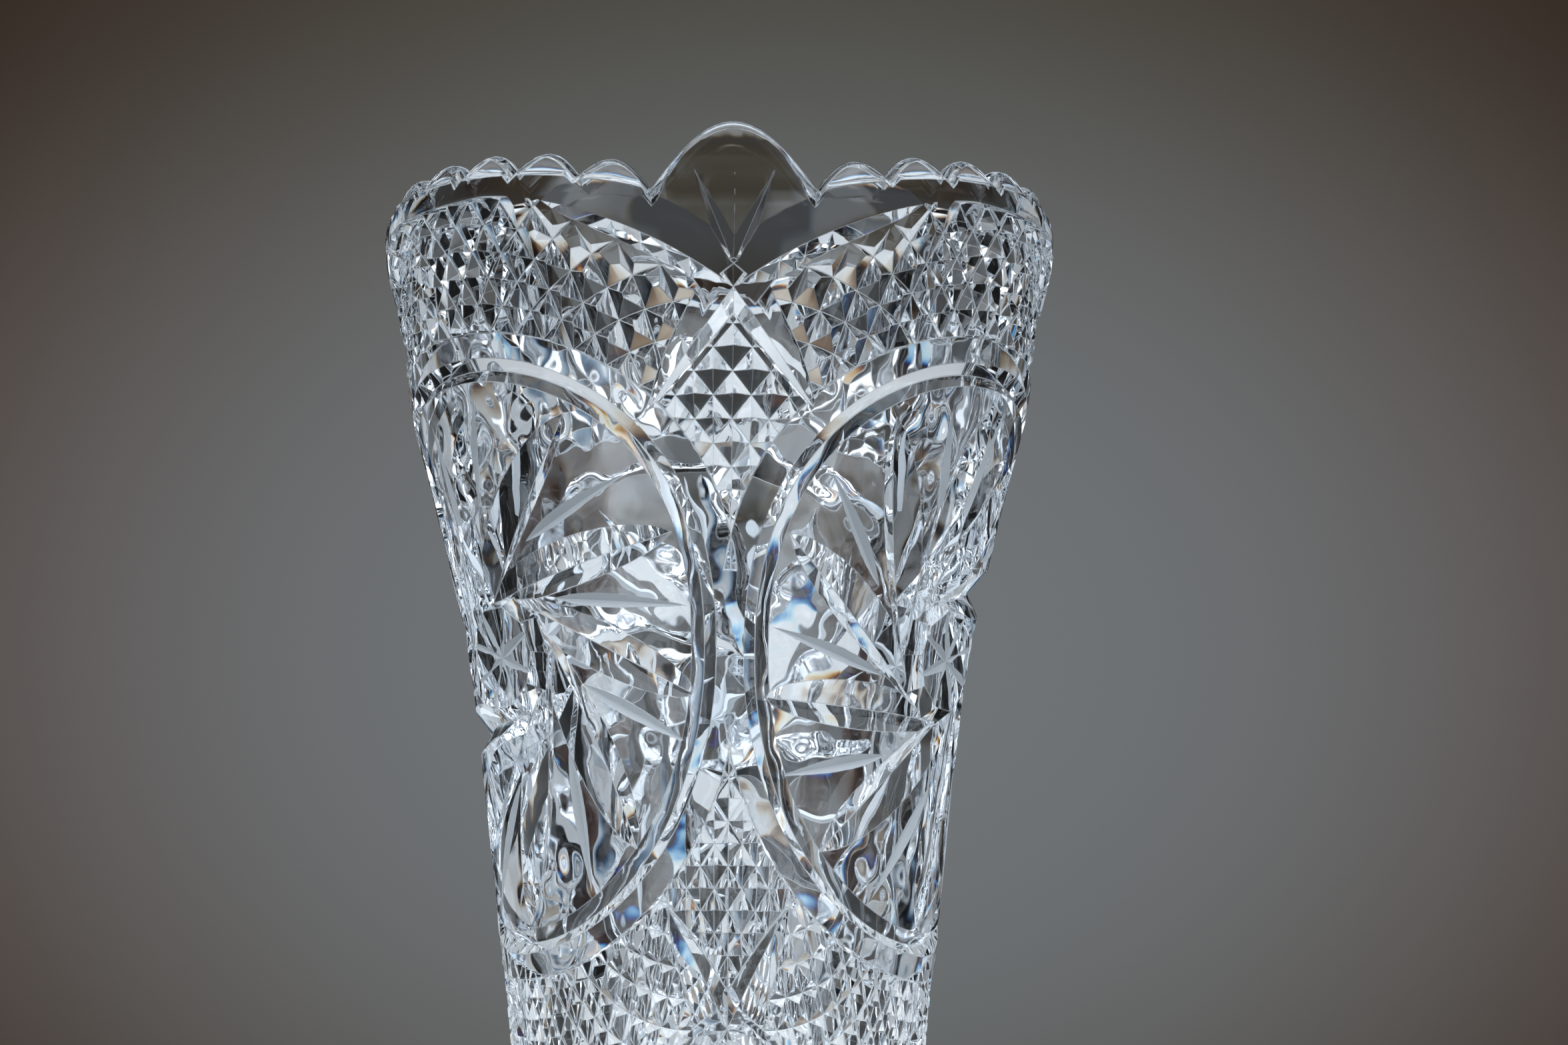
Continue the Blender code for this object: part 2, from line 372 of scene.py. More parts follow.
def loft(mesh, sections, closed=False):
    """Adds a solid through sections of equal point count, as a closed ring or with two ends."""
    rows = [[mesh.verts.new(point) for point in section] for section in sections]
    count = len(rows[0])
    pairs = list(zip(rows, rows[1:]))
    if closed:
        pairs.append((rows[-1], rows[0]))
    for first, second in pairs:
        for i in range(count):
            j = (i + 1) % count
            mesh.faces.new((first[i], first[j], second[j], second[i]))
    if not closed:
        mesh.faces.new(rows[0][::-1])
        mesh.faces.new(rows[-1])


def prism(mesh, outline):
    """A solid through the wall with the outline of (angle, height) points."""
    loft(mesh, [[place(angle, height, reach) for angle, height in outline] for reach in PRISM_RADII])


class Glass:
    """The vase's body, and the cuts made in it one after the other."""

    def __init__(self, body):
        self.body = body

    def solid(self, name, build, surface=POLISHED):
        """An object from the mesh that build fills, with every face on one surface slot."""
        mesh = bmesh.new()
        build(mesh)
        bmesh.ops.recalc_face_normals(mesh, faces=mesh.faces)
        for face in mesh.faces:
            face.material_index = surface
        data = bpy.data.meshes.new(name)
        mesh.to_mesh(data)
        mesh.free()
        for material in self.body.data.materials:
            data.materials.append(material)
        thing = bpy.data.objects.new(name, data)
        bpy.context.scene.collection.objects.link(thing)
        return thing

    def combine(self, target, other, operation, keep=False):
        """Applies one Boolean to target and removes the other object unless it is kept."""
        modifier = target.modifiers.new(operation, "BOOLEAN")
        modifier.operation = operation
        # The exact solver leaves open edges where a shallow groove grazes the wall.
        modifier.solver = "MANIFOLD"
        modifier.object = other
        evaluated = target.evaluated_get(bpy.context.evaluated_depsgraph_get())
        result = bpy.data.meshes.new_from_object(evaluated)
        target.modifiers.remove(modifier)
        old, target.data = target.data, result
        bpy.data.meshes.remove(old)
        if not keep:
            bpy.data.objects.remove(other)

    def cut(self, name, build, surface=POLISHED, operation="DIFFERENCE"):
        self.combine(self.body, self.solid(name, build, surface), operation)


def turned_blank():
    """The hollow turned body before any cutting."""
    floor = INSIDE[0][0]
    outside = [*np.linspace(BLANK_TOP, FOOT_EDGE[0], OUTSIDE_POINTS), *FOOT_EDGE[1:]]
    inside = [floor, *np.linspace(floor + 1, BLANK_TOP, INSIDE_POINTS)]
    profile = [(outer_radius(h), h) for h in outside]
    profile += [(BASE_RECESS_RADIUS, 0), (BASE_RECESS_RADIUS - BASE_RECESS_SLANT, BASE_RECESS_DEPTH)]
    profile += [(0, BASE_RECESS_DEPTH), (0, floor)]
    profile += [(inner_radius(h), h) for h in inside]
    data = bpy.data.meshes.new("vase_crystal")
    count = len(profile)
    axis_gap = len(outside) + 2
    edges = [(i, (i + 1) % count) for i in range(count) if i != axis_gap]
    data.from_pydata([(r * UNIT, 0, z * UNIT) for r, z in profile], edges, [])
    body = bpy.data.objects.new("vase_crystal", data)
    bpy.context.scene.collection.objects.link(body)
    screw = body.modifiers.new("turn", "SCREW")
    screw.steps = BLANK_STEPS
    screw.render_steps = BLANK_STEPS
    screw.use_merge_vertices = True
    screw.merge_threshold = 0.00001
    evaluated = body.evaluated_get(bpy.context.evaluated_depsgraph_get())
    turned = bpy.data.meshes.new_from_object(evaluated)
    body.modifiers.clear()
    body.data = turned
    return body


def groove(path, depths, right_flank, left_flank=None, base=0.0, lift=SURFACE_LIFT):
    """V sections along a path of (angle, height) points. A depth below zero is off the glass.

    The flanks are angles from the groove's own axis, to the right and left of the path. The
    base is how far the surface that is cut stands off the wall.
    """
    right_slope = math.tan(math.radians(right_flank))
    left_slope = math.tan(math.radians(left_flank or right_flank))
    sections = []
    for i, ((angle, height), depth) in enumerate(zip(path, depths)):
        along = heading(path, i)
        scale = degrees_per_mm(height)
        left = (depth + lift) * left_slope
        right = (depth + lift) * right_slope
        sections.append((
            on_surface(angle - along.y * left * scale, height + along.x * left, base + lift),
            on_surface(angle, height, base - depth),
            on_surface(angle + along.y * right * scale, height - along.x * right, base + lift),
        ))
    return sections


def heading(path, index):
    """Direction of the path at a point, as (mm across, mm up) of length one."""
    before, after = path[max(index - 1, 0)], path[min(index + 1, len(path) - 1)]
    scale = degrees_per_mm(path[index][1])
    return Vector(((after[0] - before[0]) / scale, after[1] - before[1])).normalized()


def strip(path, lefts, rights):
    """Rectangular sections through the wall's skin, as wide as given on each side of a path."""
    sections = []
    for i, ((angle, height), left, right) in enumerate(zip(path, lefts, rights)):
        along = heading(path, i)
        scale = degrees_per_mm(height)
        edges = [
            (angle - along.y * left * scale, height + along.x * left),
            (angle + along.y * right * scale, height - along.x * right),
        ]
        sections.append((
            on_surface(*edges[0], SKIN), on_surface(*edges[0], -SKIN),
            on_surface(*edges[1], -SKIN), on_surface(*edges[1], SKIN),
        ))
    return sections


def lens_depths(depth, steps, skew=1.0):
    """Depths of a wheel cut that runs out to nothing at both ends."""
    shares = [(i / steps) ** skew for i in range(steps + 1)]
    return [depth * (1 - (2 * share - 1) ** 2) - LENS_END_LIFT for share in shares]


def oval(half_angle, half_height, steps):
    """Points of an oval about the panel's middle, as (angle, height) with the panel at 0."""
    power = 2 / RING_POWER
    points = []
    for i in range(steps):
        turn = 2 * math.pi * i / steps
        across, up = math.cos(turn), math.sin(turn)
        points.append((
            math.copysign(half_angle * abs(across) ** power, across),
            PANEL_MIDDLE + math.copysign(half_height * abs(up) ** power, up),
        ))
    return points


def rim_height(angle):
    """Height of the rim: a rounded tongue over each pillar, and small teeth between them."""
    off = from_pillar(angle)
    if off < TONGUE_HALF_ANGLE:
        share = 1 - (off / TONGUE_HALF_ANGLE) ** 2
        return RIM_LOW + (CROWN - RIM_LOW) * share**TONGUE_POWER
    wave = abs(math.cos(math.pi * (SECTOR / 2 - off) / TOOTH_PITCH))
    return tooth_foot(off) + TOOTH_HEIGHT * wave


def tooth_foot(off):
    """Height of the arched line that the teeth stand on, at an angle from the pillar."""
    share = (off - TONGUE_HALF_ANGLE) / (SECTOR / 2 - TONGUE_HALF_ANGLE)
    return RIM_LOW + RIM_ARCH * math.sin(share**RIM_ARCH_POWER * math.pi / 2)


def rim_waste(mesh):
    """All that is ground off above the rim. Its underside leaves a rounded crest."""
    half_shares = (*CREST_SHARES, WASTE_REACH)
    shares = [-share for share in reversed(half_shares)] + [0, *half_shares]
    sections = []
    for i in range(RIM_STEPS):
        angle = 360 * i / RIM_STEPS
        crest = rim_height(angle)
        middle = (outer_radius(crest) + inner_radius(crest)) / 2
        half = (outer_radius(crest) - inner_radius(crest)) / 2
        section = []
        for share in shares:
            drop = RIM_CREST * (1 - math.sqrt(max(0, 1 - share**2)))
            section.append(place(angle, crest - drop, middle + half * share))
        for share in (WASTE_REACH, -WASTE_REACH):
            section.append(place(angle, WASTE_TOP, middle + half * share))
        sections.append(section)
    loft(mesh, sections, closed=True)


def ledge(mesh):
    """A shallow step back above the line that the teeth stand on. It rises off the tongues."""
    sections = []
    for i in range(RIM_STEPS):
        angle = 360 * i / RIM_STEPS
        off = from_pillar(angle)
        over = max(TONGUE_HALF_ANGLE - off, 0) * LEDGE_CLIMB
        foot = tooth_foot(max(off, TONGUE_HALF_ANGLE)) + over - LEDGE_DROP
        sections.append((
            on_surface(angle, foot, ZONE_SKIN),
            on_surface(angle, foot, 0.05),
            on_surface(angle, foot + LEDGE_RISE, -LEDGE_DEPTH),
            on_surface(angle, foot + LEDGE_HEIGHT, -LEDGE_DEPTH),
            on_surface(angle, foot + LEDGE_HEIGHT, ZONE_SKIN),
        ))
    loft(mesh, sections, closed=True)


def cut_rim(glass):
    """The ledge goes first, so that the rim's crest is cut through it."""
    glass.cut("ledge", ledge)
    glass.cut("rim_waste", rim_waste, BLANK)


def cut_flutes(glass):
    """Two shallow flutes up each tongue, and the mould's seam along each pillar."""
    def flutes(hand):
        start, end = [(hand * angle, height) for angle, height in (FLUTE_START, FLUTE_END)]
        shares = [1 - i / FLUTE_STEPS for i in range(FLUTE_STEPS + 1)]
        depths = [FLUTE_DEPTH * share - FLUTE_END_LIFT for share in shares]

        def build(mesh):
            for pillar in PILLAR_ANGLES:
                path = shifted(straight(start, end, FLUTE_STEPS), pillar)
                loft(mesh, groove(path, depths, FLUTE_HALF_ANGLE))
        return build

    def seams(mesh):
        depths = lens_depths(SEAM_DEPTH, SEAM_STEPS)
        for pillar in PILLAR_ANGLES:
            for low, high in SEAMS:
                path = straight((pillar, low), (pillar, high), SEAM_STEPS)
                loft(mesh, groove(path, depths, SEAM_HALF_ANGLE, lift=SEAM_LIFT))

    for hand in (-1, 1):
        glass.cut(f"flutes_{hand + 1}", flutes(hand))
    glass.cut("seams", seams)


def cut_rings(glass):
    """The bevelled groove inside the flat band of each oval."""
    inset = RING_BAND + RING_GROOVE_WIDTH / 2
    path = oval(
        RING_HALF_ANGLE - inset * degrees_per_mm(PANEL_MIDDLE), RING_HALF_HEIGHT - inset, RING_STEPS
    )
    half_angle = math.degrees(math.atan(RING_GROOVE_WIDTH / 2 / RING_GROOVE_DEPTH))
    around = [path[-1]] + path + [path[0]]
    depths = [RING_GROOVE_DEPTH] * len(around)

    def build(mesh):
        for centre in PANEL_ANGLES:
            loft(mesh, groove(shifted(around, centre), depths, half_angle)[1:-1], closed=True)
    glass.cut("ring_grooves", build)


def frustums(levels):
    """Many-sided frustums in the middle of the panels. Levels are (radius, lift) pairs."""
    def build(mesh):
        for centre in PANEL_ANGLES:
            sections = []
            for radius, lift in levels:
                ring = []
                for i in range(HUB_SIDES):
                    turn = 2 * math.pi * i / HUB_SIDES
                    height = PANEL_MIDDLE + radius * math.sin(turn)
                    span = radius * math.cos(turn) * degrees_per_mm(PANEL_MIDDLE)
                    ring.append(on_surface(centre + span, height, lift))
                sections.append(ring)
            loft(mesh, sections)
    return build


def pinwheel():
    """The blades' (tip, inner end), which all pass the hub on the same side."""
    scale = degrees_per_mm(PANEL_MIDDLE)
    blades = []
    for angle, rise in BLADE_TIPS + tuple((-angle, rise) for angle, rise in BLADE_TIPS if angle):
        tip = Vector((angle / scale, rise))
        swing = math.asin(BLADE_CLEARANCE / tip.length)
        reach = math.sqrt(tip.length_squared - BLADE_CLEARANCE**2) + BLADE_RUN_OUT
        inner = tip + (Matrix.Rotation(-swing, 2) @ -tip.normalized()) * reach
        blades.append(((angle, rise), (inner.x * scale, inner.y)))
    return blades


def lens_on_panels(start, end, depths, half_angle, base=0.0):
    """One lens-shaped cut at the same place on every panel, between points about its middle."""
    def build(mesh):
        for centre in PANEL_ANGLES:
            line = straight(start, end, len(depths) - 1)
            path = [(centre + angle, PANEL_MIDDLE + rise) for angle, rise in line]
            loft(mesh, groove(path, depths, half_angle, base=base))
    return build


def cut_panels(glass):
    """The hollow in each panel, then the blades of its pinwheel, then the hub raised on them."""
    hollow = ((HUB_TOP_RADIUS, -HOLLOW_DEPTH), (HOLLOW_RADIUS, SURFACE_LIFT))
    glass.cut("hollows", frustums(hollow))
    depths = lens_depths(BLADE_DEPTH, BLADE_STEPS, BLADE_SKEW)
    for number, (tip, inner) in enumerate(pinwheel()):
        glass.cut(f"blade_{number}", lens_on_panels(tip, inner, depths, BLADE_HALF_ANGLE))
    hub = ((HUB_FOOT_RADIUS, -BLADE_DEPTH - 1), (HUB_TOP_RADIUS, HUB_RISE))
    glass.cut("hubs", frustums(hub), operation="UNION")


def cut_frost(glass):
    """The thin frosted cuts between the blades and the frosted star on each hub."""
    depths = lens_depths(SLIVER_DEPTH, SLIVER_STEPS, SLIVER_SKEW)
    for number, (tip, inner) in enumerate(SLIVERS):
        glass.cut(f"sliver_{number}", lens_on_panels(tip, inner, depths, FROST_HALF_ANGLE), FROSTED)
    scale = degrees_per_mm(PANEL_MIDDLE)
    depths = lens_depths(STAR_DEPTH, SLIVER_STEPS)
    for number in range(STAR_RAYS):
        turn = math.pi * (number + 0.5) / STAR_RAYS
        across = STAR_HALF_LENGTH * math.cos(turn) * scale
        up = STAR_HALF_LENGTH * math.sin(turn)
        ray = lens_on_panels((-across, -up), (across, up), depths, FROST_HALF_ANGLE, HUB_RISE)
        glass.cut(f"star_{number}", ray, FROSTED)


def arm_rise(arm, share):
    """Height of an arm's valley over the middle of its cross, in an upright cross."""
    return arm.climb * share + arm.bow * arm.reach**2 * share * (1 - share)


def arm_lines(arm, hand):
    """Paths, depths and flanks (right, left) of one arm of every cross."""
    shares = [ARM_START + (1 - ARM_START) * i / ARM_STEPS for i in range(ARM_STEPS + 1)]
    fullness = [(1 - abs(share) ** arm.taper) ** ARM_ROUNDNESS for share in shares]
    depths = [arm.depth * full - ARM_END_LIFT for full in fullness]
    for pillar in PILLAR_ANGLES:
        for height, side in CROSSES:
            path = [
                (pillar + hand * arm.reach * share, height + side * arm_rise(arm, share))
                for share in shares
            ]
            flanks = (arm.near_flank, arm.far_flank)
            yield path, depths, flanks if hand * side > 0 else flanks[::-1]


def cut_crosses(glass):
    """The four arms of each cross: long ones along the lattice, short ones beside the ovals."""
    def arms(arm, hand):
        def build(mesh):
            for path, depths, flanks in arm_lines(arm, hand):
                loft(mesh, groove(path, depths, *flanks))
        return build

    for hand in (-1, 1):
        glass.cut(f"long_arms_{hand + 1}", arms(LONG_ARM, hand))
        glass.cut(f"short_arms_{hand + 1}", arms(SHORT_ARM, hand))


def lattice_edge(angle, side):
    """Height of the lattice's outer edge, along the long arms and then level."""
    cross = next(z for z, cross_side in CROSSES if cross_side == side)
    edge = cross + side * arm_rise(LONG_ARM, from_pillar(angle) / LONG_ARM.reach)
    return min(edge, LATTICE_ENDS[0]) if side > 0 else max(edge, LATTICE_ENDS[1])


def lattice_strength(lattice, angle, height):
    """How fully a lattice is cut: it fades out towards the long arms."""
    if lattice.centres is PILLAR_ANGLES:
        return 1.0
    inside = lattice.side * (lattice_edge(angle, lattice.side) - height) - FADE_MARGIN
    away = max(from_pillar(angle) - FADE_ANGLE, 0)
    return min(max(inside / FADE_HEIGHT + away / FADE_SPAN, 0), 1)


def lattice_point(lattice, across, up):
    """The (angle, height) of a grid point, counted in cells from the lattice's middle.

    The lean depends on the height and the height on the droop, so they settle in a few rounds.
    """
    height = lattice.middle + lattice.row * up * lattice.side
    for _ in range(5):
        lean = math.exp(lattice.side * lattice.lean * (height - lattice.middle))
        angle = lattice.column * across * (1 + lattice.spread * across**2) * lean
        droop = lattice.droop * angle**2
        height = lattice.middle + lattice.side * (lattice.row * up - droop)
    return angle, height


def groove_depth(lattice, height):
    """Depth at which neighbouring grooves of the lattice just meet in a sharp ridge."""
    width = lattice.column / degrees_per_mm(height)
    spacing = width * lattice.row / math.hypot(width, lattice.row)
    return LATTICE_OVERCUT * spacing / 2 / math.tan(math.radians(LATTICE_HALF_ANGLE))


def lattice_path(lattice, number, lean):
    """Line of one groove about its lattice's middle, as far as the lattice reaches."""
    lowest, highest = LATTICE_LEVELS
    path = []
    for i in range(-POINTS_PER_CELL * LATTICE_CELLS, POINTS_PER_CELL * LATTICE_CELLS + 1):
        across = i / POINTS_PER_CELL
        up = number + lattice.first + lean * across
        angle, height = lattice_point(lattice, across, up)
        near = abs(up) < 0.9 * LATTICE_CELLS and abs(angle) < 0.52 * SECTOR
        if near and lowest < height < highest:
            path.append((angle, height))
    return path


def lattice_grooves(lattice, lean, parity):
    """Every second groove of one leaning family, so that no two in the cutter touch."""
    def build(mesh):
        for centre in lattice.centres:
            for number in range(parity - 3 * LATTICE_CELLS, 3 * LATTICE_CELLS, 2):
                path = shifted(lattice_path(lattice, number, lean), centre)
                if len(path) < 3:
                    continue
                depths = [
                    groove_depth(lattice, height) * lattice_strength(lattice, angle, height)
                    - LATTICE_END_LIFT
                    for angle, height in path
                ]
                loft(mesh, groove(path, depths, LATTICE_HALF_ANGLE, lift=LATTICE_LIFT))
    return build


def lattice_band(side):
    """All round the vase, from near the panels' middle out to a lattice's outer edge."""
    def build(mesh):
        sections = []
        for i in range(LATTICE_ZONE_STEPS):
            angle = 360 * i / LATTICE_ZONE_STEPS + ZONE_TURN
            edge = lattice_edge(angle, side)
            low, high = (UPPER_ZONE_LOW, edge) if side > 0 else (edge, LOWER_ZONE_HIGH)
            inner = min(outer_radius(low), outer_radius((low + high) / 2)) - ZONE_SKIN
            sections.append((
                place(angle, low, inner), place(angle, low, ZONE_RADIUS),
                place(angle, high, ZONE_RADIUS), place(angle, high, inner),
            ))
        loft(mesh, sections, closed=True)
    return build


def whole_ovals(mesh):
    """The three panels with their rings, through the wall."""
    outline = oval(RING_HALF_ANGLE, RING_HALF_HEIGHT, RING_STEPS)
    for centre in PANEL_ANGLES:
        prism(mesh, shifted(outline, centre))


def arm_strips(arm, hand):
    """Where one arm of every cross is as wide as it gets at the surface."""
    def build(mesh):
        for path, depths, (right, left) in arm_lines(arm, hand):
            shown = [max(depth, LEAST_DEPTH) for depth in depths]
            lefts = [depth * math.tan(math.radians(left)) for depth in shown]
            rights = [depth * math.tan(math.radians(right)) for depth in shown]
            loft(mesh, strip(path, lefts, rights))
    return build


def pillar_wedges(side):
    """What lies between the two short arms of every cross on one side."""
    cross = next(z for z, cross_side in CROSSES if cross_side == side)
    tip = cross + side * SHORT_ARM.climb
    far = PANEL_MIDDLE + side * 10
    reach = SHORT_ARM.reach

    def build(mesh):
        outline = [(0, cross), (reach, tip), (reach, far), (-reach, far), (-reach, tip)]
        for pillar in PILLAR_ANGLES:
            prism(mesh, shifted(outline, pillar))
    return build


def lattice_zone(glass, lattice):
    """The solid that a lattice's cutters are kept inside."""
    zone = glass.solid("zone", lattice_band(lattice.side))
    glass.combine(zone, glass.solid("ovals", whole_ovals), "DIFFERENCE")
    for hand in (-1, 1):
        for arm in (LONG_ARM, SHORT_ARM):
            glass.combine(zone, glass.solid("strips", arm_strips(arm, hand)), "DIFFERENCE")
    inside = "INTERSECT" if lattice.centres is PILLAR_ANGLES else "DIFFERENCE"
    glass.combine(zone, glass.solid("wedges", pillar_wedges(lattice.side)), inside)
    return zone


def cut_lattices(glass):
    """Four-sided pyramids outside the ovals, and finer ones between the short arms."""
    for number, lattice in enumerate(LATTICES):
        zone = lattice_zone(glass, lattice)
        for lean in (-1, 1):
            for parity in (0, 1):
                name = f"lattice_{number}_{lean + 1}_{parity}"
                tool = glass.solid(name, lattice_grooves(lattice, lean, parity))
                glass.combine(tool, zone, "INTERSECT", keep=True)
                glass.combine(glass.body, tool, "DIFFERENCE")
        bpy.data.objects.remove(zone)


def read(elements, field, kind):
    """One field of a mesh's elements, as an array with a row for each element."""
    width = 3 if field in ("co", "vector") else 1
    values = np.empty(len(elements) * width, kind)
    elements.foreach_get(field, values)
    return values.reshape(-1, width) if width > 1 else values


def sharpen_edges(data, corner_slots):
    """Marks the cut edges as sharp: the steep ones, and those between two surface slots."""
    data.shade_smooth()
    data.set_sharp_from_angle(angle=math.radians(SHARP_ANGLE))
    corner_edges = read(data.loops, "edge_index", np.int32)
    lowest = np.full(len(data.edges), FROSTED)
    highest = np.full(len(data.edges), BLANK)
    np.minimum.at(lowest, corner_edges, corner_slots)
    np.maximum.at(highest, corner_edges, corner_slots)
    sharp = read(data.edges, "use_edge_sharp", bool)
    data.edges.foreach_set("use_edge_sharp", sharp | (lowest != highest))


def smooth_turned_walls(data, corner_slots):
    """Gives the corners on the uncut walls the exact normals of the turned surfaces."""
    normals = read(data.corner_normals, "vector", np.float32)
    corner_vertices = read(data.loops, "vertex_index", np.int32)
    points = read(data.vertices, "co", np.float32)[corner_vertices] / UNIT
    radius = np.hypot(points[:, 0], points[:, 1])
    heights = np.linspace(0, BLANK_TOP, NORMAL_LEVELS)
    for radius_at, side in ((outer_radius, 1), (inner_radius, -1)):
        curve = np.array([radius_at(height) for height in heights])
        slope = np.gradient(curve, heights)
        off = abs(radius - np.interp(points[:, 2], heights, curve))
        uncut = (corner_slots == BLANK) & (off < NORMAL_TOLERANCE)
        uncut &= points[:, 2] > INSIDE[0][0] + 2
        x, y, height = points[uncut].T
        lean = np.interp(height, heights, slope)
        turned = np.stack([x / radius[uncut], y / radius[uncut], -lean], axis=1) * side
        normals[uncut] = turned / np.linalg.norm(turned, axis=1)[:, None]
    data.normals_split_custom_set(normals.tolist())


def finish_surface(body):
    """Sharp cut edges, and smooth shading where the turned walls are uncut."""
    data = body.data
    corners = read(data.polygons, "loop_total", np.int32)
    corner_slots = np.repeat(read(data.polygons, "material_index", np.int32), corners)
    sharpen_edges(data, corner_slots)
    smooth_turned_walls(data, corner_slots)


def new_material(name):
    """A material with no nodes but its output, as (material, node tree, surface input)."""
    material = bpy.data.materials.new(name)
    material.use_nodes = True
    tree = material.node_tree
    tree.nodes.clear()
    output = tree.nodes.new("ShaderNodeOutputMaterial")
    return material, tree, output.inputs["Surface"]


def add_node(tree, kind, values):
    """A new node of a kind, with some of its inputs set by name."""
    node = tree.nodes.new(kind)
    for name, value in values.items():
        node.inputs[name].default_value = value
    return node


def mix_shaders(tree, share, first, second):
    """The second shader by a share that a node gives, and the first one otherwise."""
    mix = tree.nodes.new("ShaderNodeMixShader")
    tree.links.new(share, mix.inputs["Fac"])
    tree.links.new(first, mix.inputs[1])
    tree.links.new(second, mix.inputs[2])
    return mix.outputs[0]


def wavy_normal(tree, rounded, wave_depth):
    """Normals with the waves that the fire polish left, which are faint near the rim."""
    where = tree.nodes.new("ShaderNodeTexCoord")
    split = tree.nodes.new("ShaderNodeSeparateXYZ")
    noise = add_node(tree, "ShaderNodeTexNoise", {"Scale": 1 / WAVE_SIZE, "Detail": 1.0})
    calm = add_node(tree, "ShaderNodeMapRange", {
        "From Min": CALM_ABOVE * UNIT, "From Max": WAVY_BELOW * UNIT, "To Min": CALM_STRENGTH,
    })
    calm.interpolation_type = "SMOOTHSTEP"
    bump = add_node(tree, "ShaderNodeBump", {"Distance": wave_depth})
    tree.links.new(where.outputs["Object"], noise.inputs["Vector"])
    tree.links.new(where.outputs["Object"], split.inputs[0])
    tree.links.new(split.outputs["Z"], calm.inputs["Value"])
    tree.links.new(calm.outputs[0], bump.inputs["Strength"])
    tree.links.new(noise.outputs["Fac"], bump.inputs["Height"])
    tree.links.new(rounded, bump.inputs["Normal"])
    return bump.outputs["Normal"]


def painted_edge_highlight(tree, rounded):
    """Share of painted white highlight on the glass: most where rounding an edge bends the normal
    furthest.
    """
    surface = tree.nodes.new("ShaderNodeNewGeometry")
    bend = tree.nodes.new("ShaderNodeVectorMath")
    bend.operation = "DOT_PRODUCT"
    highlight_share = add_node(tree, "ShaderNodeMapRange", {
        "From Min": EDGE_BENDS[0], "From Max": EDGE_BENDS[1], "To Max": EDGE_PAINTED_HIGHLIGHT,
    })
    tree.links.new(rounded, bend.inputs[0])
    tree.links.new(surface.outputs["Normal"], bend.inputs[1])
    tree.links.new(bend.outputs["Value"], highlight_share.inputs["Value"])
    return highlight_share.outputs[0]


def crystal_material(name, wave_depth):
    """Clear lead glass. Lamps shine through it, and its rounded edges get a painted white highlight.
    """
    material, tree, surface = new_material(name)
    rounding = add_node(tree, "ShaderNodeBevel", {"Radius": EDGE_ROUNDING})
    rounding.samples = 4
    rounded = rounding.outputs["Normal"]
    glass = add_node(tree, "ShaderNodeBsdfGlass", {
        "Color": (0.985, 0.992, 1.0, 1), "IOR": CRYSTAL_IOR, "Roughness": 0.0,
    })
    tree.links.new(wavy_normal(tree, rounded, wave_depth), glass.inputs["Normal"])
    # A pale diffuse shader mixed in along the rounded edges as a painted highlight.
    painted_highlight = add_node(tree, "ShaderNodeBsdfDiffuse", {"Color": (0.86, 0.91, 0.96, 1)})
    with_highlight = mix_shaders(tree, painted_edge_highlight(tree, rounded), glass.outputs[0], painted_highlight.outputs[0])
    clear = tree.nodes.new("ShaderNodeBsdfTransparent")
    to_lamp = tree.nodes.new("ShaderNodeLightPath").outputs["Is Shadow Ray"]
    tree.links.new(mix_shaders(tree, to_lamp, with_highlight, clear.outputs[0]), surface)
    return material


def frosted_material():
    """Ground glass: pale and matte, with a little light coming through."""
    material, tree, surface = new_material("frosted_cut")
    shader = add_node(tree, "ShaderNodeBsdfPrincipled", {
        "Base Color": (0.74, 0.80, 0.86, 1), "Roughness": 0.55,
        "Transmission Weight": 0.25, "IOR": CRYSTAL_IOR,
    })
    tree.links.new(shader.outputs[0], surface)
    return material


def calculate(tree, operation, *values):
    """The result of a math node whose inputs are numbers or other nodes' outputs."""
    node = tree.nodes.new("ShaderNodeMath")
    node.operation = operation
    for slot, value in enumerate(values):
        if isinstance(value, (int, float)):
            node.inputs[slot].default_value = value
        else:
            tree.links.new(value, node.inputs[slot])
    return node.outputs[0]


def within(tree, value, half, edge):
    """One where the value is under the half size, fading to zero across the soft edge."""
    node = add_node(tree, "ShaderNodeMapRange", {"From Min": half + edge, "From Max": half - edge})
    node.interpolation_type = "SMOOTHSTEP"
    tree.links.new(value, node.inputs["Value"])
    return node.outputs[0]


def sight_angles(tree):
    """Degrees to the right of the camera's line of sight and above it, for a world's nodes."""
    where = tree.nodes.new("ShaderNodeTexCoord")
    to_camera = tree.nodes.new("ShaderNodeVectorTransform")
    to_camera.vector_type = "VECTOR"
    to_camera.convert_from = "WORLD"
    to_camera.convert_to = "CAMERA"
    split = tree.nodes.new("ShaderNodeSeparateXYZ")
    tree.links.new(where.outputs["Generated"], to_camera.inputs[0])
    tree.links.new(to_camera.outputs[0], split.inputs[0])
    x, y, z = split.outputs
    azimuth = calculate(tree, "MULTIPLY", calculate(tree, "ARCTAN2", x, z), math.degrees(1))
    elevation = calculate(tree, "MULTIPLY", calculate(tree, "ARCSINE", y), math.degrees(1))
    return azimuth, elevation


def softbox_light(tree, azimuth, elevation, softbox, shift):
    """Brightness of a softbox that is moved by a shift, sideways and up."""
    off = calculate(tree, "SUBTRACT", azimuth, softbox.azimuth + shift)
    off = calculate(tree, "ABSOLUTE", calculate(tree, "WRAP", off, 180.0, -180.0))
    up = calculate(tree, "SUBTRACT", elevation, softbox.elevation + shift)
    across = within(tree, off, softbox.half_width, softbox.edge)
    upward = within(tree, calculate(tree, "ABSOLUTE", up), softbox.half_height, softbox.edge)
    return calculate(tree, "MULTIPLY", calculate(tree, "MULTIPLY", across, upward), softbox.strength)


